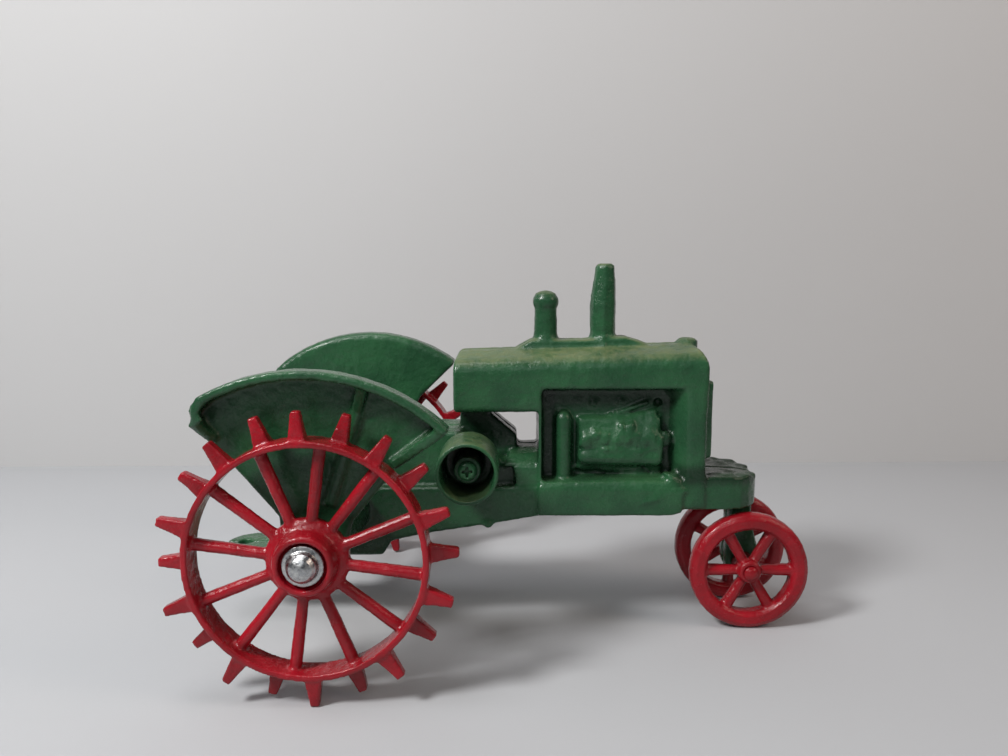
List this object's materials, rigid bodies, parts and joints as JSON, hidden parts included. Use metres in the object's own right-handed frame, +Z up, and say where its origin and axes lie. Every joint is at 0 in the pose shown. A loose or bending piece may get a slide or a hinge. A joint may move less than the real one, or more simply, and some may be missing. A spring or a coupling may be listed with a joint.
{
  "type": "toy tractor",
  "caption": "Cast-iron toy row-crop tractor with spade-lug steel rear wheels, fan-shaped fenders, close-set front wheels and a side belt pulley, all free to turn.",
  "frame": {"origin": "on the ground under the middle of the toy's overall length and width", "axes": "+X forwards towards the front wheels, +Y to the tractor's left, +Z up"},
  "size_m": [0.1884, 0.1394, 0.1153],
  "materials": {
    "green_enamel": "gloss enamel over rough sand-cast iron, dusty on top",
    "red_enamel": "gloss enamel over sand-cast iron",
    "bright_zinc": "bright zinc plate, lightly hammered",
    "plain_steel": "drawn steel rod"
  },
  "bodies": {
    "chassis": {"body_right": "green_enamel", "body_left": "green_enamel", "rear_axle": "plain_steel", "front_axle": "red_enamel", "push_nut_right": "bright_zinc", "push_nut_left": "bright_zinc", "pulley_screw": "green_enamel"},
    "rear_wheel_right": {"rear_wheel_right": "red_enamel"},
    "rear_wheel_left": {"rear_wheel_left": "red_enamel"},
    "front_wheel_right": {"front_wheel_right": "red_enamel"},
    "front_wheel_left": {"front_wheel_left": "red_enamel"},
    "belt_pulley": {"belt_pulley": "green_enamel"}
  },
  "joints": [
    {"name": "rear_wheel_right_spin", "type": "hinge", "parent": "chassis", "child": "rear_wheel_right", "pos_m": [-0.05298, -0.06, 0.03962], "axis": [0, 1, 0], "continuous": true},
    {"name": "rear_wheel_left_spin", "type": "hinge", "parent": "chassis", "child": "rear_wheel_left", "pos_m": [-0.05298, 0.06, 0.03962], "axis": [0, 1, 0], "continuous": true},
    {"name": "front_wheel_right_spin", "type": "hinge", "parent": "chassis", "child": "front_wheel_right", "pos_m": [0.07543, -0.0121, 0.01875], "axis": [0, 1, 0], "continuous": true},
    {"name": "front_wheel_left_spin", "type": "hinge", "parent": "chassis", "child": "front_wheel_left", "pos_m": [0.07543, 0.0121, 0.01875], "axis": [0, 1, 0], "continuous": true},
    {"name": "belt_pulley_spin", "type": "hinge", "parent": "chassis", "child": "belt_pulley", "pos_m": [-0.01268, -0.025, 0.0553], "axis": [0, 1, 0], "continuous": true}
  ]
}
